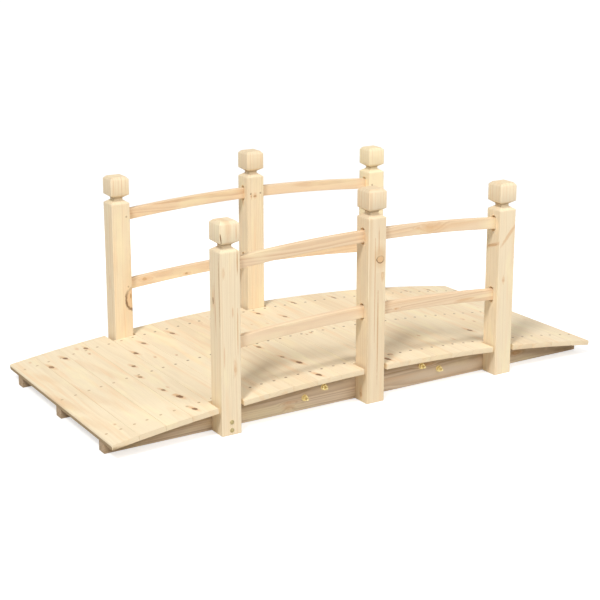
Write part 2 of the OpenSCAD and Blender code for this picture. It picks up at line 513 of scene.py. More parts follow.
def new_wiring(owner):
    """Wiring for the emptied node tree of a material or a world."""
    owner.use_nodes = True
    wire = Wiring(owner.node_tree)
    wire.tree.nodes.clear()
    return wire


def knot_figure():
    """Masks of a knot: heart, dark rim, warm halo along the grain, and how the rings bulge round it.

    A strength over 1 marks a sound knot, which shows as a ring round pale wood, darker on its lower side.
    """
    wire, given, put = new_group(
        "knot_figure", {"Vector": ("Knot", "Grain"), "Float": ("Draw",)},
        {"Float": ("Heart", "Rim", "Halo", "Bulge", "Strength", "Sound")})
    run, beside, strength = wire.split(given["Knot"])
    sound = wire.step(strength, 1.0, 1.01)
    stray = wire.math("SUBTRACT", wire.noise(given["Grain"], (140, 190, 190)), 0.5)
    wobble = wire.times(stray, wire.scaled(sound, -0.5, 0.9))
    reach = wire.math("ADD", wire.vector("LENGTH", wire.join(run, beside, 0.0)), wobble)
    ahead = wire.scaled(run, given["Draw"], -0.252)
    drawn_out = wire.vector("LENGTH", wire.join(ahead, beside, 0.0))
    drawn_out = wire.math("ADD", drawn_out, wire.times(wobble, 0.6))
    present = wire.step(strength, 0.0, 0.05)
    heart = wire.step(reach, 1.1, 0.7)
    inner_rim = wire.scaled(sound, 0.17, 0.55)
    outer_rim = wire.scaled(sound, -0.17, 1.35)
    rim = wire.math("SUBTRACT", wire.step(reach, inner_rim, 0.95), wire.step(reach, 1.0, outer_rim))
    lower = wire.scaled(run, -0.8, wire.times(beside, -0.5))
    broken = wire.step(lower, -0.7, 0.7, 0.35, 1.1)
    rim = wire.times(rim, wire.scaled(sound, wire.math("SUBTRACT", broken, 1.0), 1.0))
    wire.fill(
        put, Heart=wire.times(heart, present), Rim=wire.times(rim, present),
        Halo=wire.times(wire.step(drawn_out, 2.1, 0.5), present),
        Bulge=wire.times(wire.step(drawn_out, 2.6, 0.0), present), Strength=strength, Sound=sound)


def ring_figure():
    """Growth rings: the distance from the pith, with a slow wander and a bulge, counted in ring spacings.

    A ring darkens slowly towards its outer side and ends sharply. Each ring has its own depth of colour.
    Fibre is fine noise drawn out along the grain, Streak is the same at a broad scale and Mottle broader
    still. Fleck is short dark dashes.
    """
    wire, given, put = new_group(
        "ring_figure", {"Vector": ("Grain",), "Float": ("Bulge", "Spacing", "Wander")},
        {"Float": ("Late", "Fibre", "Streak", "Fleck", "Mottle")})
    grain = given["Grain"]
    _, beside, deep = wire.split(grain)
    stray = wire.math("SUBTRACT", wire.noise(grain, (2.1, 9.0, 9.0), detail=1.5), 0.5)
    ripple = wire.math("SUBTRACT", wire.noise(grain, (14.0, 60.0, 60.0), detail=1.0), 0.5)
    reach = wire.vector("LENGTH", wire.join(beside, deep, 0.0))
    reach = wire.scaled(stray, given["Wander"], reach)
    reach = wire.scaled(ripple, 0.0012, reach)
    reach = wire.scaled(given["Bulge"], 0.007, reach)
    count = wire.math("DIVIDE", reach, given["Spacing"])
    uneven = wire.math("SUBTRACT", wire.noise(wire.join(count, 0.0, 0.0), (0.31, 1.0, 1.0), detail=1.0), 0.5)
    count = wire.scaled(uneven, 2.4, count)
    within = wire.math("FRACT", count)
    late = wire.times(wire.step(within, 0.15, 0.88), wire.step(within, 1.0, 0.9))
    own = wire.add("ShaderNodeTexWhiteNoise", noise_dimensions="1D")
    wire.feed(own.inputs["W"], wire.math("FLOOR", count))
    late = wire.times(late, wire.scaled(own.outputs["Value"], 0.75, 0.25))
    wire.fill(
        put, Late=late, Fibre=wire.noise(grain, (16.0, 620.0, 620.0), detail=3.0, roughness=0.62),
        Streak=wire.noise(grain, (3.2, 42.0, 42.0), detail=2.5, roughness=0.55),
        Fleck=wire.step(wire.noise(grain, (75.0, 900.0, 900.0), detail=1.0), 0.68, 0.78),
        Mottle=wire.noise(grain, (5.0, 19.0, 19.0), detail=2.0, roughness=0.6))


def edge_wear():
    """Eased edges and cut ends broken up by noise, so that neither is an even band. The edges are lightened
    partly as wear and partly as a painted highlight, and the end masks also carry painted shade.
    """
    wire, given, put = new_group(
        "edge_wear", {"Vector": ("Finish", "Grain")}, {"Float": ("Edge", "End", "Shade")})
    edge, end, shade = wire.split(given["Finish"])
    patch = wire.noise(given["Grain"], (35.0, 120.0, 120.0), detail=3.0)
    wire.fill(
        put, Edge=wire.times(edge, wire.step(patch, 0.30, 0.62)),
        End=wire.times(end, wire.step(patch, 0.05, 0.55, 0.55, 1.0)), Shade=shade)


def planed_pine():
    """Planed pine from its rings, knots and edges: colour, roughness and the height of its surface."""
    wire, given, put = new_group(
        "planed_pine",
        {"Vector": ("Grain", "Knot", "Pitch", "Finish"),
         "Color": ("Early", "Late", "Blush", "Cream", "Halo", "Heart", "Sawn"),
         "Float": ("Contrast", "Warmth", "Spacing", "Wander")},
        {"Color": ("Colour",), "Float": ("Roughness", "Height")})
    grain = given["Grain"]
    knots = wire.group("knot_figure", Knot=given["Knot"], Grain=grain, Draw=0.42)
    pitch = wire.group("knot_figure", Knot=given["Pitch"], Grain=grain, Draw=1.3)
    rings = wire.group(
        "ring_figure", Grain=grain, Bulge=knots["Bulge"], Spacing=given["Spacing"], Wander=given["Wander"])
    wear_and_painted_light = wire.group("edge_wear", Finish=given["Finish"], Grain=grain)

    depth = wire.times(given["Contrast"], wire.scaled(wear_and_painted_light["Shade"], 1.0, 0.55))
    wood = wire.mix(wire.times(rings["Late"], depth), given["Early"], given["Late"])
    blush = wire.step(rings["Streak"], 0.48, 0.78)
    wood = wire.mix(wire.times(blush, given["Warmth"]), wood, given["Blush"])
    wood = wire.mix(wire.step(rings["Mottle"], 0.50, 0.72, 0.0, 0.55), wood, given["Cream"])
    warm = wire.times(wire.step(wear_and_painted_light["Shade"], 0.4, 1.0), 0.26)
    wood = wire.mix(warm, wood, given["Blush"])
    pale = wire.step(wear_and_painted_light["Shade"], 0.0, -0.6, 0.0, 0.7)
    wood = wire.mix(pale, wood, given["Cream"])
    light = wire.scaled(rings["Fibre"], 0.16, 0.92)
    light = wire.times(light, wire.scaled(rings["Streak"], 0.10, 0.95))
    light = wire.times(light, wire.scaled(wear_and_painted_light["Shade"], -0.05, 1.02))
    light = wire.scaled(wire.times(rings["Fleck"], light), -0.09, light)
    wood = wire.mix(1.0, wood, wire.join(light, light, light), "MULTIPLY")
    # Eased edges and the caps' rims turn paler: partly wear, partly a painted highlight
    wood = wire.mix(wire.times(wear_and_painted_light["Edge"], 0.30), wood, given["Early"])
    wood = wire.mix(wire.times(wear_and_painted_light["End"], 0.16), wood, given["Late"])
    # End masks over 1 darken the wood: the deck's outer end faces, painted shade under the posts' caps and a
    # painted shadow of the deck on the stringers
    wood = wire.mix(wire.step(wear_and_painted_light["End"], 1.0, 4.0, 0.0, 0.8), wood, given["Sawn"])
    for mark in (pitch, knots):
        dark = mark["Strength"]
        glow = wire.scaled(wire.math("MINIMUM", dark, 1.0), 0.55, 0.15)
        glow = wire.times(glow, wire.scaled(mark["Sound"], -0.72, 1.0))
        wood = wire.mix(wire.times(mark["Halo"], glow), wood, given["Halo"])
        heart = wire.mix(wire.step(dark, 0.15, 0.75), given["Halo"], given["Heart"])
        filled = wire.scaled(mark["Sound"], -0.62, wire.step(dark, 0.08, 0.8, 0.0, 0.95))
        core = wire.times(mark["Heart"], filled)
        wood = wire.mix(core, wood, wire.mix(mark["Sound"], heart, given["Halo"]))
        wood = wire.mix(wire.times(mark["Rim"], wire.step(dark, 0.12, 0.8, 0.0, 0.8)), wood, heart)

    rough = wire.scaled(rings["Late"], -0.12, 0.62)
    rough = wire.scaled(rings["Fibre"], 0.10, rough)
    rough = wire.scaled(knots["Heart"], -0.14, rough)
    rough = wire.scaled(wear_and_painted_light["End"], 0.15, rough)
    tall = wire.scaled(rings["Fibre"], 0.5, wire.times(rings["Late"], 0.35))
    tall = wire.scaled(rings["Fleck"], -0.6, tall)
    tall = wire.scaled(knots["Rim"], -0.5, tall)
    wire.fill(put, Colour=wood, Roughness=rough, Height=tall)


def finish_shader(wire, looks, socket, value, relief, depth):
    """Ends a material with one shader: colour, roughness and relief from a group, one plain value."""
    bump = wire.add("ShaderNodeBump")
    wire.fill(bump.inputs, Strength=relief, Distance=depth, Height=looks["Height"])
    shader = wire.add("ShaderNodeBsdfPrincipled")
    wire.feed(shader.inputs["Base Color"], looks["Colour"])
    wire.fill(shader.inputs, Roughness=looks["Roughness"], Normal=bump.outputs["Normal"])
    wire.feed(shader.inputs[socket], value)
    wire.show("ShaderNodeOutputMaterial", shader.outputs["BSDF"])


def pine_material(name, early, late, contrast, warmth):
    """A pine finish: the shared pine group with its own colours, on a plain matt shader."""
    colours = bpy.context.scene.pine_colours
    wire = new_wiring(bpy.data.materials.new(name))
    pine = wire.group(
        "planed_pine", Grain=wire.attribute("grain"), Knot=wire.attribute("knot"),
        Pitch=wire.attribute("pitch"), Finish=wire.attribute("finish"), Early=early, Late=late,
        Blush=colours.blush, Cream=colours.cream, Halo=colours.halo, Heart=colours.knot, Sawn=colours.dark_face_and_painted_shade,
        Contrast=contrast, Warmth=warmth, Spacing=colours.ring_spacing, Wander=colours.ring_wander)
    finish_shader(wire, pine, "Specular IOR Level", 0.28, relief=0.22, depth=0.0006)


def dull_metal():
    """Dull metal with fine scratches and soft stains: colour, roughness and height.

    Wood dust hides the metal towards the left end by the Dust share.
    """
    wire, given, put = new_group(
        "dull_metal", {"Vector": ("Place",), "Color": ("Metal", "Stain", "Wood"), "Float": ("Dust",)},
        {"Color": ("Colour",), "Float": ("Roughness", "Height")})
    stain = wire.noise(given["Place"], (420.0, 420.0, 420.0), detail=3.0)
    scratch = wire.noise(given["Place"], (2600.0, 2600.0, 2600.0), detail=2.0)
    metal = wire.mix(wire.step(stain, 0.42, 0.68), given["Metal"], given["Stain"])
    along, _, _ = wire.split(given["Place"])
    dust = wire.times(wire.step(along, -0.60, -0.26, 1.0, 0.0), given["Dust"])
    rough = wire.scaled(scratch, 0.25, wire.step(stain, 0.3, 0.7, 0.26, 0.46))
    wire.fill(put, Colour=wire.mix(dust, metal, given["Wood"]), Roughness=rough, Height=scratch)


def metal_material(name, metal, stain, metallic, dust):
    """A metal finish for fasteners."""
    wire = new_wiring(bpy.data.materials.new(name))
    place = wire.add("ShaderNodeTexCoord").outputs["Object"]
    wood = bpy.context.scene.pine_colours.deck_late
    dull = wire.group("dull_metal", Place=place, Metal=metal, Stain=stain, Wood=wood, Dust=dust)
    finish_shader(wire, dull, "Metallic", metallic, relief=0.12, depth=0.0003)


def log_for(number):
    """A seeded generator for one timber, so that each has a log of its own and every run gives the same."""
    return np.random.default_rng((bpy.context.scene.pine_colours.seed, number))


def box_of(node):
    """Lowest and highest corner of a node as two arrays."""
    low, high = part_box(node)
    return np.array(low), np.array(high)


def board_node(number):
    """Name of a deck board, counted from the left end."""
    return f"deck_board_{number:02d}"


def stray_knots(log, counts, along, beside, half_long, half_wide, strength, axis=None):
    """A few knots at random. How many there are and what each is like are drawn from the given ranges.

    Where no sideways axis is given, it is drawn too.
    """
    knots = []
    for _ in range(log.integers(*counts)):
        drawn = [log.uniform(*limits) for limits in (along, beside, half_long, half_wide, strength)]
        knots.append((*drawn, 0.0, axis or int(log.integers(1, 3))))
    return knots


def board_frame(number):
    """Origin on a board's underside and its axes: along the board, across it and up.

    The boards are tangent to the arch, each turned from the crown by its place times pitch over radius.
    """
    sizes = bpy.context.scene.timber_sizes
    turn = (number - (BOARD_COUNT + 1) / 2) * (sizes.board_width + sizes.board_gap) / sizes.arch_radius
    crown = box_of("near_stringer_left")[1][2]
    up = np.array((math.sin(turn), 0.0, math.cos(turn)))
    origin = np.array((0.0, 0.0, crown - sizes.arch_radius)) + sizes.arch_radius * up
    along = np.array((0.0, 1.0, 0.0))
    return origin, np.array((along, np.cross(up, along), up))


# Knots and pitch streaks seen on the deck: place along and across the walk, half length, half width and
# strength. All of them lean by one slope
DECK_LEAN = 0.2
DECK_KNOTS = (
    (-0.66, 0.224, 0.0091, 0.005, 0.62), (-0.607, 0.254, 0.0076, 0.0044, 0.72),
    (-0.535, 0.281, 0.0076, 0.0044, 0.62), (-0.492, 0.064, 0.006, 0.0044, 0.64),
    (-0.512, -0.017, 0.006, 0.0044, 0.57), (-0.398, 0.202, 0.0076, 0.0044, 0.62),
    (-0.448, 0.147, 0.0076, 0.0044, 0.68), (-0.302, 0.222, 0.0091, 0.0044, 0.64),
    (-0.505, -0.137, 0.006, 0.0038, 0.62), (-0.492, -0.203, 0.0091, 0.0055, 0.87),
    (-0.499, -0.297, 0.0076, 0.0044, 0.77), (-0.169, -0.029, 0.0076, 0.0044, 0.62),
    (-0.023, 0.231, 0.0076, 0.0044, 0.64), (0.028, 0.165, 0.0076, 0.0044, 0.57),
    (0.121, 0.278, 0.0076, 0.0044, 0.57), (0.262, 0.276, 0.0076, 0.0044, 0.57),
    (-0.144, -0.196, 0.0091, 0.0055, 0.87), (-0.158, -0.134, 0.006, 0.0038, 0.57),
    (-0.151, -0.303, 0.0076, 0.005, 0.82), (0.062, -0.299, 0.0091, 0.005, 0.82),
    (0.536, 0.281, 0.006, 0.0044, 0.57), (0.627, 0.283, 0.006, 0.0044, 0.57),
    (0.432, -0.171, 0.0076, 0.0055, 0.67), (-0.728, -0.02, 0.1, 0.012, 0.19),
    (-0.72, -0.2, 0.07, 0.01, 0.06), (-0.655, -0.045, 0.045, 0.01, 0.05),
    (-0.7, 0.155, 0.05, 0.009, 0.06), (-0.575, 0.115, 0.05, 0.01, 0.05),
    (-0.33, 0.245, 0.03, 0.007, 0.1), (-0.205, 0.24, 0.03, 0.008, 0.08),
    (0.3, 0.12, 0.06, 0.01, 0.05), (0.15, -0.08, 0.05, 0.009, 0.05),
    (0.56, -0.06, 0.06, 0.01, 0.06), (0.66, 0.09, 0.06, 0.011, 0.06),
)

# Marks seen on the posts: height, place beside the middle, half length, half width, strength, slope and
# the axis that lies sideways to the mark, 1 along the walk and 2 across it
POST_KNOTS = {
    "far_left_post": (
        (0.188, 0.027, 0.031, 0.020, 1.90, 0.0, 1),
        (0.1965, 0.0221, 0.0062, 0.0012, 0.90, 0.0, 1),
    ),
    "near_left_post": (
        (0.517, -0.005, 0.013, 0.0058, 0.20, 0.0, 1),
        (0.506, 0.0175, 0.018, 0.0012, 0.34, 0.0, 1),
        # The next mark is a thin dark line on the cap's front by its left edge: painted shade of a crack that
        # the mesh doesn't have
        (0.4945, -0.0240, 0.0112, 0.0012, 0.76, -0.13, 1),
        (0.360, -0.0205, 0.080, 0.0015, 0.46, 0.02, 2),
        (0.310, 0.000, 0.055, 0.0016, 0.36, 0.04, 2),
        (0.337, 0.010, 0.008, 0.0026, 0.60, 0.0, 2),
        (0.432, 0.0195, 0.026, 0.0014, 0.44, 0.0, 1),
        (0.310, 0.006, 0.012, 0.0016, 0.30, 0.0, 1),
        (0.260, 0.0190, 0.050, 0.0013, 0.34, 0.0, 1),
        (0.200, -0.018, 0.026, 0.0014, 0.26, 0.0, 1),
    ),
    "near_middle_post": (
        (0.383, 0.0095, 0.0095, 0.0110, 1.80, 0.0, 1),
        (0.428, 0.0050, 0.030, 0.0012, 0.36, 0.0, 1),
        (0.180, 0.0040, 0.11, 0.0014, 0.38, 0.0, 1),
        (0.300, -0.0060, 0.14, 0.0012, 0.34, 0.0, 1),
        (0.019, 0.0005, 0.006, 0.005, 0.42, 0.0, 2),
    ),
    "near_right_post": (
        (0.391, 0.004, 0.0262, 0.0051, 0.30, 0.85, 1),
        (0.363, 0.001, 0.0056, 0.010, 0.40, -2.6, 2),
    ),
    "far_middle_post": (
        (0.4353, -0.0128, 0.0026, 0.0036, 0.42, 0.0, 1),
        (0.4353, -0.0020, 0.0026, 0.0046, 0.50, 0.0, 1),
    ),
}

# Strength of the upright grain lines on a post's cap, their places beside the post's middle, how far they
# stray from there, and their half length and half width
CAP_LINES = {
    "near_left_post": 0.0, "near_middle_post": 0.17, "near_right_post": 0.13,
    "far_left_post": 0.24, "far_middle_post": 0.18, "far_right_post": 0.12,
}
CAP_PLACES = (-0.0177, -0.0059, 0.0059, 0.0177)
CAP_STRAY = 0.0028
CAP_LINE_SIZE = (0.030, 0.0009)

# Marks seen on the rails: place along the walk, place over the middle line, half length, half width and
# strength
RAIL_KNOTS = {
    "near_right_top_rail": (0.178, 0.000, 0.011, 0.012, 0.26),
    "near_right_low_rail": (0.300, -0.006, 0.030, 0.0025, 0.30),
    "far_left_low_rail": (-0.350, 0.004, 0.006, 0.004, 0.40),
}

# Warmth of each post's wood, from the palest to the most tan
POST_SHADES = {
    "near_left_post": 0.15, "near_middle_post": 0.66, "near_right_post": 0.0,
    "far_left_post": 0.35, "far_middle_post": 0.40, "far_right_post": -0.45,
}

# Fasteners' profiles from foot to top: share of the radius, and height over the wood
NAIL_PROFILE = ((1.0, -0.0012), (1.0, 0.00005), (0.85, 0.00022), (0.4, 0.00030))
SCREW_PROFILE = ((1.0, -0.0012), (1.0, 0.00005), (0.8, 0.0002), (0.42, 0.0001), (0.32, -0.0006))
FOOT_PROFILE = (
    (1.0, -0.001), (1.0, 0.0006), (0.9, 0.0012), (0.74, 0.0012), (0.68, 0.0001), (0.56, 0.0001),
    (0.50, 0.0011), (0.15, 0.0014))
WASHER_PROFILE = ((1.08, -0.0004), (1.08, 0.0012), (1.0, 0.0016), (0.6, 0.0016))
STUD_PROFILE = (
    (1.0, 0.0070), (1.0, 0.0094), (0.88, 0.01055), (1.0, 0.0117), (0.88, 0.01285), (1.0, 0.0140),
    (0.88, 0.01515), (0.8, 0.0170), (0.45, 0.0174))
HEAD_PROFILE = ((2.1, -0.0004), (2.1, 0.0008), (1.7, 0.0030), (0.9, 0.0042), (0.3, 0.0045))

# How far a nail strays, how far the near row lies outwards, and a screw's distance from its rail's end
NAIL_STRAY = 0.002
NEAR_ROW_SHIFT = 0.0035
SCREW_INSET = 0.0045
# Heights of the foot bolts, and the splice bolts' distances from the joint with their heights
FOOT_HEIGHTS = (0.0123, 0.0331)
SPLICE_SPOTS = ((0.156, 0.0505), (0.2145, 0.0320))


# Finishes of the timbers: contrast of the rings and warmth of the streaks
PINES = (("deck", 0.32, 0.55), ("post", 0.52, 0.40), ("rail", 0.60, 0.50), ("stringer", 0.72, 0.50))
# Finishes of the fasteners: colour of the stains, metal share and wood dust
METALS = (
    ("nail_steel", tone(130, 100, 70), 0.0, 0.78),
    ("foot_steel", tone(160, 143, 98), 0.35, 0.0),
    ("yellow_zinc", tone(246, 220, 146), 0.5, 0.0),
)


class FOOTBRIDGE_OT_woods(Operator):
    """Makes the shared node groups and the finishes of all timbers and fasteners"""
    bl_idname = "footbridge.woods"
    bl_label = "Woods and metals"

    def execute(self, context):
        colours = context.scene.pine_colours
        metals = context.scene.fastener_sizes
        for make in (knot_figure, ring_figure, edge_wear, planed_pine, dull_metal):
            make()
        for kind, contrast, warmth in PINES:
            early, late = (getattr(colours, f"{kind}_{part}") for part in ("early", "late"))
            pine_material(f"{kind}_pine", early, late, contrast, warmth)
        for name, stain, metallic, dust in METALS:
            metal_material(name, getattr(metals, name), stain, metallic, dust)
        return {"FINISHED"}


class FOOTBRIDGE_OT_deck(Operator):
    """Lays the deck boards on the arch"""
    bl_idname = "footbridge.deck"
    bl_label = "Deck boards"

    def execute(self, context):
        sizes = context.scene.timber_sizes
        thick, wide = sizes.board_thickness, sizes.board_width
        for number in range(1, BOARD_COUNT + 1):
            log = log_for(number)
            low, high = box_of(board_node(number))
            origin, axes = board_frame(number)
            stations = eased_stations(low[1], high[1], sizes.grid, sizes.board_ease)
            pale = number <= PALE_BOARDS
            ease = [sizes.tight_ease if pale else sizes.board_ease] * 4
            if number == 1:
                ease[1] = sizes.end_bevel
            if number == BOARD_COUNT:
                ease[2] = sizes.end_bevel
            under = np.zeros_like(stations[0])
            piece, local, edge, end = timber(
                f"board_{number:02d}", stations, wide / 2, under, under + thick, ease, BOARD_STEP,
                origin, axes)
            knots = [
                (y, (np.array((x, y, 0)) - origin) @ axes[1], half_long, half_wide, strength, DECK_LEAN, 1)
                for x, y, half_long, half_wide, strength in DECK_KNOTS
                if abs(x - origin[0]) < (wide + sizes.board_gap) / 2]
            knots += stray_knots(
                log, counts=(0, 3), along=(low[1] + 0.03, high[1] - 0.03), beside=(-0.03, 0.03),
                half_long=(0.002, 0.004), half_wide=(0.002, 0.004), strength=(0.2, 0.55), axis=1)
            if number in (1, BOARD_COUNT):
                # The outer face of an end board, below its bevel, turns darker
                outer = local[:, 1] * (1 if number == 1 else -1) > wide / 2 - FACE_ROOM
                below = local[:, 2] < thick - sizes.end_bevel - BEVEL_ROOM
                end = np.where(outer & below, DARK_END_FACE, end)
                # Twice the paleness on the end boards' eased edges and bevel: a painted highlight
                edge = 2 * edge
            pith = (number * 1.37, log.uniform(-0.03, 0.03), -log.uniform(0.035, 0.11))
            warmth = log.uniform(0, 0.35) if pale else log.uniform(0.1, 0.85)
            give_figure(piece.data, local, pith, edge, end, warmth, knots)
            finish_piece(piece, "deck_pine", "deck_wood", board_node(number))
        return {"FINISHED"}


def post_outline(height, half):
    """A post's half width at each height, from its foot to its top: shaft, groove, cap and bevel.

    Every corner between two straight runs is cut by a short flat, and the shaft is divided into even
    lengths.
    """
    sizes = bpy.context.scene.timber_sizes
    groove_top = height - sizes.cap_height
    middle = groove_top - sizes.groove_height / 2
    shoulder = groove_top - sizes.groove_height
    narrow = half - sizes.groove_depth
    soft, inset = 0.0006, 0.004
    corners = np.array((
        (0.0, half - soft), (soft, half), (shoulder, half), (middle - sizes.neck_height / 2, narrow),
        (middle + sizes.neck_height / 2, narrow), (groove_top, half),
        (height - sizes.cap_bevel, half), (height, half - sizes.cap_bevel)))
    runs = np.diff(corners, axis=0)
    runs /= np.linalg.norm(runs, axis=1, keepdims=True)
    before = corners[2:-1] - soft * runs[1:-1]
    after = corners[2:-1] + soft * runs[2:]
    bends = np.stack((before, after), axis=1).reshape(-1, 2)
    steps = max(2, round(shoulder / sizes.grid))
    shaft = np.column_stack((np.linspace(inset, shoulder - inset, steps), np.full(steps, half)))
    return np.concatenate((corners[:2], shaft, bends, corners[-1:]))


def rail_middle(level, x):
    """Height of a rail's middle line along the walk: an arc about a centre far below the crown."""
    sizes = bpy.context.scene.timber_sizes
    crown = box_of(f"near_left_{level}_rail")[1][2] - sizes.rail_height / 2
    return crown - sizes.rail_radius + np.sqrt(sizes.rail_radius ** 2 - np.square(x))


def mortise_cutter(name, post_x, post_y, half, ways):
    """Round-ended prisms, one for each rail that enters a post: a slot's outline carried into the face.

    The round ends keep their rise near the face and slope down to the rail's own height deeper in.
    """
    sizes = bpy.context.scene.timber_sizes
    low, high = box_of("near_left_top_rail")
    radius = (high[1] - low[1]) / 2 + sizes.mortise_room
    straight = sizes.rail_height / 2 + sizes.slope_room
    angle = np.linspace(0, math.pi, 13)
    slot_y = np.concatenate((radius * np.cos(angle), -radius * np.cos(angle)))
    level_z = np.repeat((straight, -straight), angle.size)
    crown_z = sizes.slot_crown * np.concatenate((np.sin(angle), -np.sin(angle)))
    depth = np.array((-0.002, 0.0015, 0.009, sizes.mortise_depth))
    rise = np.array((1.0, 1.0, 0.0, 0.0))
    loops, faces, first = [], [], 0
    for way in ways:
        for level in LEVELS:
            middle = rail_middle(level, post_x + way * (half - sizes.mortise_depth / 2))
            points = np.stack(np.broadcast_arrays(
                (post_x + way * (half - depth))[::-way, None], post_y + slot_y,
                middle + level_z + rise[::-way, None] * crown_z), axis=-1)
            index = first + np.arange(points.size // 3).reshape(points.shape[:2])
            faces += closed_faces(index)
            loops.append(points.reshape(-1, 3))
            first += index.size
    return linked(name, new_mesh(name, np.concatenate(loops), faces))


def cut_away(piece, cutter):
    """Takes a cutter's volume out of a piece and leaves the result as the piece's plain mesh."""
    cut = piece.modifiers.new("mortises", "BOOLEAN")
    cut.operation = "DIFFERENCE"
    cut.solver = "EXACT"
    cut.object = cutter
    shaped = piece.evaluated_get(bpy.context.evaluated_depsgraph_get())
    mesh = bpy.data.meshes.new_from_object(shaped)
    piece.modifiers.clear()
    whole, piece.data = piece.data, mesh
    bpy.data.meshes.remove(whole)
    blade = cutter.data
    bpy.data.objects.remove(cutter)
    bpy.data.meshes.remove(blade)


def post_masks(local, height, half):
    """Masks of a post's points: its eased edges and the rims of its cap, lightened partly as a painted
    highlight, and its ends and hollow groove, whose upper half carries painted shade under the cap.
    """
    sizes = bpy.context.scene.timber_sizes
    up = local[:, 0]
    bevel = height - sizes.cap_bevel
    groove_top = height - sizes.cap_height
    corner = np.abs(local[:, 1:]).min(axis=1) > half - 1.5 * sizes.post_ease
    # The rims at the cap's bevel and at the groove's top count as eased edges and turn paler: a painted
    # highlight
    rim = (np.abs(up - bevel) < RIM) | (np.abs(up - groove_top) < RIM)
    end = np.interp(up, (0.0, 0.001, bevel + 0.001, height - 0.001), (1.0, 0.0, 0.0, 1.0))
    # Painted shade under the cap: the groove darkens from the middle of its neck up to the cap's underside
    crease = groove_top - sizes.groove_height / 2
    hollow = (crease - 0.001, crease + sizes.neck_height / 2, groove_top - 0.001)
    rough = np.interp(up, hollow, GROOVE_PAINTED_SHADE, left=0.0, right=0.0)
    return (corner | rim).astype(float), np.maximum(end, rough)


class FOOTBRIDGE_OT_posts(Operator):
    """Sets up the six capped posts with their mortises"""
    bl_idname = "footbridge.posts"
    bl_label = "Posts"

    def execute(self, context):
        sizes = context.scene.timber_sizes
        axes = np.array(((0.0, 0.0, 1.0), (1.0, 0.0, 0.0), (0.0, 1.0, 0.0)))
        for number, (side, stand) in enumerate((side, stand) for side in SIDES for stand in STANDS):
            node = f"{side}_{stand}_post"
            log = log_for(POST_LOGS + number)
            low, high = box_of(node)
            foot = np.array((*(low[:2] + high[:2]) / 2, 0.0))
            height, half = high[2], (high[0] - low[0]) / 2
            along, wide = post_outline(height, half).T
            ease = [sizes.post_ease] * 4
            across, up, _ = eased_loops(wide, -wide, wide, ease, np.ones_like(along), POST_STEP)
            local = np.stack((np.broadcast_to(along[:, None], across.shape), across, up), axis=-1)
            piece = skin(f"{side}_{stand}_upright", laid(local, foot, axes), smooth=False)
            ways = [way for way in (-1, 1) if abs(STANDS.index(stand) - 1 + way) <= 1]
            cut_away(piece, mortise_cutter(f"{node}_slots", foot[0], foot[1], half, ways))
            place = np.empty(len(piece.data.vertices) * 3, dtype=np.float32)
            piece.data.vertices.foreach_get("co", place)
            local = (place.reshape(-1, 3).astype(float) - foot) @ axes.T
            edge, end = post_masks(local, height, half)
            knots = list(POST_KNOTS.get(node, ()))
            knots += stray_knots(
                log, counts=(1, 4), along=(0.12, height - 0.12), beside=(-0.02, 0.02),
                half_long=(0.003, 0.007), half_wide=(0.002, 0.004), strength=(0.15, 0.4))
            bearing = log.uniform(0, 2 * math.pi)
            reach = log.uniform(0.045, 0.10)
            pith = (3.0 + number * 1.9, reach * math.cos(bearing), reach * math.sin(bearing))
            lines = [
                (height - sizes.cap_height / 2, beside + log.uniform(-CAP_STRAY, CAP_STRAY), *CAP_LINE_SIZE,
                 CAP_LINES[node] * log.uniform(0.2, 1.0), 0.0, axis)
                for beside in CAP_PLACES for axis in (1, 2)]
            if CAP_LINES[node]:
                knots += lines
            give_figure(piece.data, local, pith, edge, end, POST_SHADES[node], knots)
            finish_piece(piece, "post_pine", "post_wood", node)
        return {"FINISHED"}


class FOOTBRIDGE_OT_rails(Operator):
    """Puts the arched rails between the posts"""
    bl_idname = "footbridge.rails"
    bl_label = "Arched rails"

    def execute(self, context):
        sizes = context.scene.timber_sizes
        axes = np.eye(3)
        names = [(side, half, level) for side in SIDES for half in HALVES for level in LEVELS]
        for number, (side, half, level) in enumerate(names):
            node = f"{side}_{half}_{level}_rail"
            log = log_for(RAIL_LOGS + number)
            low, high = box_of(node)
            stations = eased_stations(low[0], high[0], sizes.grid, sizes.rail_ease)
            centre = rail_middle(level, 0.0) - sizes.rail_radius
            under, over = (
                centre + np.sqrt((sizes.rail_radius + way * sizes.rail_height / 2) ** 2 - stations[0] ** 2)
                for way in (-1, 1))
            piece, local, edge, end = timber(
                f"{side}_{half}_{level}_arched_rail", stations, (high[1] - low[1]) / 2, under, over,
                [sizes.rail_ease] * 4, RAIL_STEP, (0.0, (low[1] + high[1]) / 2, 0.0), axes)
            middle = rail_middle(level, (low[0] + high[0]) / 2)
            knots = stray_knots(
                log, counts=(0, 3), along=(low[0] + 0.05, high[0] - 0.05),
                beside=(middle - 0.012, middle + 0.012), half_long=(0.003, 0.006),
                half_wide=(0.002, 0.004), strength=(0.2, 0.5), axis=2)
            if node in RAIL_KNOTS:
                x, above, half_long, half_wide, strength = RAIL_KNOTS[node]
                knots.append((x, rail_middle(level, x) + above, half_long, half_wide, strength, 0.0, 2))
            pith = (9.0 + number * 2.3, log.uniform(0.05, 0.11), middle + log.uniform(-0.04, 0.04))
            give_figure(piece.data, local, pith, edge, end, log.uniform(0.2, 0.8), knots)
            finish_piece(piece, "rail_pine", "rail_wood", node)
        return {"FINISHED"}


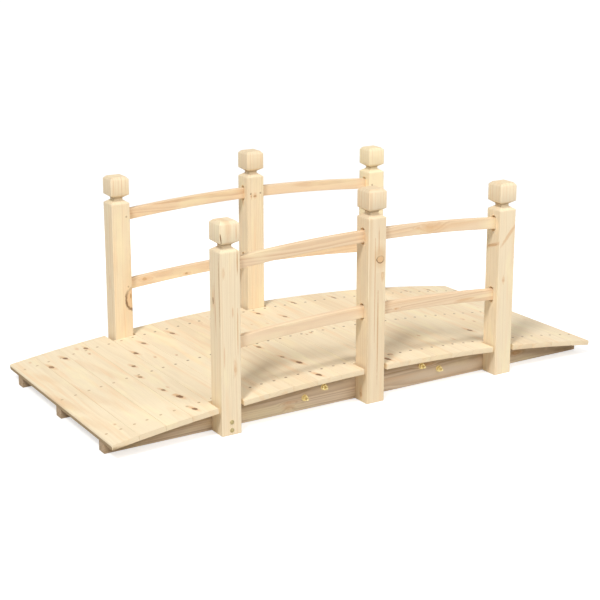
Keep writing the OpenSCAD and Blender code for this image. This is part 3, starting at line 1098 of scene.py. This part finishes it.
class FOOTBRIDGE_OT_stringers(Operator):
    """Sets the arched stringers and the splice boards under the deck"""
    bl_idname = "footbridge.stringers"
    bl_label = "Stringers and splices"

    def execute(self, context):
        sizes = context.scene.timber_sizes
        axes = np.eye(3)
        centre = box_of("near_stringer_left")[1][2] - sizes.arch_radius
        names = [f"{row}_stringer_{half}" for row in ROWS for half in HALVES]
        names += [f"{row}_splice" for row in ROWS]
        for number, node in enumerate(names):
            log = log_for(STRINGER_LOGS + number)
            arched = not node.endswith("splice")
            low, high = box_of(node)
            stations = eased_stations(low[0], high[0], sizes.grid, sizes.stringer_ease)
            under = np.full_like(stations[0], low[2])
            over = np.full_like(stations[0], high[2])
            if arched:
                over = centre + np.sqrt(sizes.arch_radius ** 2 - stations[0] ** 2)
            piece, local, edge, end = timber(
                f"{node}_board", stations, (high[1] - low[1]) / 2, under, over,
                [sizes.stringer_ease] * 4, STRINGER_STEP, (0.0, (low[1] + high[1]) / 2, 0.0), axes)
            knots = stray_knots(
                log, counts=(1, 4), along=(low[0] + 0.05, high[0] - 0.05), beside=(0.01, 0.06),
                half_long=(0.005, 0.009), half_wide=(0.003, 0.006), strength=(0.15, 0.4), axis=2)
            pith = (30.0 + number * 3.1, log.uniform(0.02, 0.07), log.uniform(0.02, 0.055))
            # Painted shadow of the deck: the stringers darken in a band just under the deck, fading out
            # between two depths
            if arched:
                depth = centre + np.sqrt(sizes.arch_radius ** 2 - local[:, 0] ** 2) - local[:, 2]
                end = np.maximum(end, np.interp(depth, PAINTED_SHADOW_DEPTHS, UNDERDECK_PAINTED_SHADOW))
            give_figure(piece.data, local, pith, edge, end, log.uniform(0.2, 0.9), knots)
            finish_piece(piece, "stringer_pine", "stringer_wood", node)
        return {"FINISHED"}


class FOOTBRIDGE_OT_nails(Operator):
    """Drives two nails through each board into each stringer"""
    bl_idname = "footbridge.nails"
    bl_label = "Deck nails"

    def execute(self, context):
        sizes = context.scene.timber_sizes
        metals = context.scene.fastener_sizes
        for row_number, row in enumerate(ROWS):
            log = log_for(NAIL_LOGS + row_number)
            low, high = box_of(f"{row}_stringer_left")
            middle = (low[1] + high[1]) / 2 - (NEAR_ROW_SHIFT if row == "near" else 0.0)
            places, ups = [], []
            for number in range(1, BOARD_COUNT + 1):
                origin, axes = board_frame(number)
                for way in (-1, 1):
                    beside = way * metals.nail_spread + log.uniform(-NAIL_STRAY, NAIL_STRAY)
                    along = middle + log.uniform(-NAIL_STRAY, NAIL_STRAY)
                    places.append(laid(np.array((along, beside, sizes.board_thickness)), origin, axes))
                    ups.append(axes[2])
            piece = turned_heads(f"{row}_deck_nails", places, ups, metals.nail_radius, NAIL_PROFILE, 10)
            finish_piece(piece, "nail_steel", "fasteners")
        return {"FINISHED"}


class FOOTBRIDGE_OT_screws(Operator):
    """Pins each rail's end with a screw from the walk, and sets two bolt heads low on the near left post"""
    bl_idname = "footbridge.screws"
    bl_label = "Rail screws and foot bolts"

    def execute(self, context):
        metals = context.scene.fastener_sizes
        for side in SIDES:
            places = []
            near = side == "near"
            for half in HALVES:
                for level in LEVELS:
                    low, high = box_of(f"{side}_{half}_{level}_rail")
                    face = box_of(f"{side}_{half}_post")[1 if near else 0][1]
                    for x in (low[0] + SCREW_INSET, high[0] - SCREW_INSET):
                        places.append((x, face, rail_middle(level, x)))
            outward = (0.0, 1.0 if near else -1.0, 0.0)
            radius = metals.screw_radius
            piece = turned_heads(f"{side}_rail_screws", places, outward, radius, SCREW_PROFILE, 12)
            finish_piece(piece, "nail_steel", "fasteners")
        low, high = box_of("near_left_post")
        places = [((low[0] + high[0]) / 2, low[1], z) for z in FOOT_HEIGHTS]
        outward = (0.0, -1.0, 0.0)
        heads = turned_heads("near_left_foot_bolts", places, outward, metals.foot_radius, FOOT_PROFILE, 24)
        finish_piece(heads, "foot_steel", "fasteners")
        return {"FINISHED"}


class FOOTBRIDGE_OT_splice_bolts(Operator):
    """Bolts the splice boards through the stringers, with washers and nuts on the open face"""
    bl_idname = "footbridge.splice_bolts"
    bl_label = "Splice bolts"

    def execute(self, context):
        metals = context.scene.fastener_sizes
        bolt, nut = metals.bolt_radius, metals.nut_radius
        for row in ROWS:
            low, high = box_of(f"{row}_splice")
            board_low, board_high = box_of(f"{row}_stringer_left")
            joint = (low[0] + high[0]) / 2
            inward = -1.0 if (low[1] + high[1]) < (board_low[1] + board_high[1]) else 1.0
            open_face = board_low[1] if inward > 0 else board_high[1]
            head_face = high[1] if inward > 0 else low[1]
            spots = [(joint + way * x, z) for way in (-1, 1) for x, z in SPLICE_SPOTS]
            outward = np.array((0.0, -inward, 0.0))
            places = [(x, open_face, z) for x, z in spots]
            backs = [(x, head_face, z) for x, z in spots]
            nut_profile = ((0.9, 0.0012), (1.0, 0.0022), (1.0, 0.0070), (0.86, 0.0080), (bolt / nut, 0.0080))
            pieces = (
                turned_heads(f"{row}_splice_washers", places, outward, nut, WASHER_PROFILE, 24),
                turned_heads(f"{row}_splice_nuts", places, outward, nut, nut_profile, 6, spin=0.3),
                turned_heads(f"{row}_splice_studs", places, outward, bolt, STUD_PROFILE, 14),
                turned_heads(f"{row}_splice_heads", backs, -outward, bolt, HEAD_PROFILE, 20),
            )
            for piece in pieces:
                finish_piece(piece, "yellow_zinc", "fasteners")
        return {"FINISHED"}


# Strength of the white that is seen all round, and the floor's circles and height
SURROUND = 1.06
FLOOR_SEGMENTS = 64
FLOOR_REACHES = (0.05, 1.5, 4.0, 8.0, 14.0)
FLOOR_LEVEL = -0.0005


def level_axes(back):
    """Right, up and back axes of a view that looks the other way, with its right side level."""
    back = back / np.linalg.norm(back)
    right = np.cross((0.0, 0.0, 1.0), back)
    right /= np.linalg.norm(right)
    return right, np.cross(back, right), back


def put_up(name, data, place, axes):
    """A lamp or camera at a place, turned by its right, up and back axes."""
    pose = np.eye(4)
    pose[:3, :3] = np.column_stack(axes)
    pose[:3, 3] = place
    piece = linked(name, data)
    piece.matrix_world = Matrix(pose.tolist())
    return piece


def soft_lamp(name, power, wide, tall, place, aim):
    """A soft panel lamp at a place, turned to an aim."""
    lamp = bpy.data.lights.new(name, "AREA")
    lamp.energy = power
    lamp.shape = "RECTANGLE"
    lamp.size = wide
    lamp.size_y = tall
    put_up(name, lamp, place, level_axes(np.subtract(place, aim)))


def white_surround(sky):
    """A world that looks white and lights the scene evenly by the sky's strength."""
    world = bpy.data.worlds.new("white_surround")
    wire = new_wiring(world)
    seen, _ = wire.sight()
    even, white = (wire.made("ShaderNodeBackground", WHITE, strength)[0] for strength in (sky, SURROUND))
    wire.show("ShaderNodeOutputWorld", wire.blend(seen, even, white))
    return world


def pale_floor(pale):
    """A round floor just under the ground: circles of growing reach about the origin, one face inside.

    It glows a little to the eye and fades out into the surround farther away.
    """
    angle = np.linspace(0, 2 * math.pi, FLOOR_SEGMENTS, endpoint=False)
    reach = np.array(FLOOR_REACHES)[:, None]
    points = np.stack(np.broadcast_arrays(reach * np.cos(angle), reach * np.sin(angle), FLOOR_LEVEL), axis=-1)
    index = np.arange(points.size // 3).reshape(points.shape[:-1])
    faces = loop_quads(index)[:, ::-1].tolist() + [index[0].tolist()]
    floor = linked("pale_floor", new_mesh("pale_floor", points, faces))
    material = bpy.data.materials.new("pale_floor")
    floor.data.materials.append(material)

    wire = new_wiring(material)
    seen, straight = wire.sight()
    place = wire.add("ShaderNodeTexCoord").outputs["Object"]
    distance = wire.vector("LENGTH", place)
    speckle = wire.step(wire.noise(place, (9.0, 9.0, 9.0), detail=3.0), 0.3, 0.7)
    shader = wire.add("ShaderNodeBsdfPrincipled")
    wire.feed(shader.inputs["Base Color"], wire.mix(speckle, pale, tone(208, 207, 205)))
    wire.feed(shader.inputs["Roughness"], 0.9)
    wire.feed(shader.inputs["Specular IOR Level"], 0.1)
    strength = wire.times(seen, wire.step(distance, 0.7, 1.6, 0.61, 0.82))
    glow = wire.made("ShaderNodeEmission", WHITE, strength)[0]
    lit = wire.made("ShaderNodeAddShader", shader.outputs["BSDF"], glow)[0]
    far = wire.times(wire.step(distance, 1.5, 2.4), straight)
    clear = wire.add("ShaderNodeBsdfTransparent").outputs[0]
    wire.show("ShaderNodeOutputMaterial", wire.blend(far, lit, clear))
    return floor


class FOOTBRIDGE_OT_stage(Operator):
    """Sets the pale floor, the soft lamps, the white surround and the camera"""
    bl_idname = "footbridge.stage"
    bl_label = "Stage and camera"

    def execute(self, context):
        scene = context.scene
        stage = scene.stage_settings
        scene.view_settings.view_transform = "Standard"
        scene.world = white_surround(stage.sky)
        floor = pale_floor(stage.floor)

        aim = (0.0, 0.0, 0.2)
        soft_lamp("left_front_lamp", stage.key, wide=2.4, tall=3.6, place=(-6.75, -5.08, 11.4), aim=aim)
        soft_lamp("front_lamp", stage.fill, wide=5.0, tall=4.0, place=(2.2, -5.7, 5.35), aim=aim)

        camera = bpy.data.cameras.new("camera")
        camera.sensor_width = 36.0
        camera.lens = stage.lens
        camera.shift_y = stage.rise
        turn, lift = stage.azimuth, stage.elevation
        away = (math.sin(turn) * math.cos(lift), -math.cos(turn) * math.cos(lift), math.sin(lift))
        right, up, back = level_axes(np.array(away))
        target = np.array((0.0, 0.0, stage.aim_height))
        place = target + right * stage.across + up * stage.above + back * stage.distance
        scene.camera = put_up("camera", camera, place, (right, up, back))
        return {"FINISHED"}


STEPS = (
    FOOTBRIDGE_OT_woods, FOOTBRIDGE_OT_deck, FOOTBRIDGE_OT_posts, FOOTBRIDGE_OT_rails,
    FOOTBRIDGE_OT_stringers, FOOTBRIDGE_OT_nails, FOOTBRIDGE_OT_screws, FOOTBRIDGE_OT_splice_bolts,
    FOOTBRIDGE_OT_stage,
)
GROUPS = (
    ("timber_sizes", TimberSizes), ("pine_colours", PineColours),
    ("fastener_sizes", FastenerSizes), ("stage_settings", StageSettings),
)


class FOOTBRIDGE_PT_panel(Panel):
    """The bridge's steps and settings in the sidebar"""
    bl_idname = "FOOTBRIDGE_PT_panel"
    bl_label = "Footbridge"
    bl_space_type = "VIEW_3D"
    bl_region_type = "UI"
    bl_category = "Footbridge"

    def draw(self, context):
        for step in STEPS:
            self.layout.operator(step.bl_idname)
        for name, group in GROUPS:
            box = self.layout.box()
            for setting in group.__annotations__:
                box.prop(getattr(context.scene, name), setting)


def register():
    """Registers the settings, the steps and the panel."""
    for name, group in GROUPS:
        bpy.utils.register_class(group)
        setattr(bpy.types.Scene, name, PointerProperty(type=group))
    for step in STEPS + (FOOTBRIDGE_PT_panel,):
        bpy.utils.register_class(step)


def unregister():
    """Takes away what register added."""
    for step in reversed(STEPS + (FOOTBRIDGE_PT_panel,)):
        bpy.utils.unregister_class(step)
    for name, group in reversed(GROUPS):
        delattr(bpy.types.Scene, name)
        bpy.utils.unregister_class(group)


def main():
    """Runs every step in order."""
    register()
    bpy.ops.footbridge.woods()
    bpy.ops.footbridge.deck()
    bpy.ops.footbridge.posts()
    bpy.ops.footbridge.rails()
    bpy.ops.footbridge.stringers()
    bpy.ops.footbridge.nails()
    bpy.ops.footbridge.screws()
    bpy.ops.footbridge.splice_bolts()
    bpy.ops.footbridge.stage()


if __name__ == "__main__":
    main()
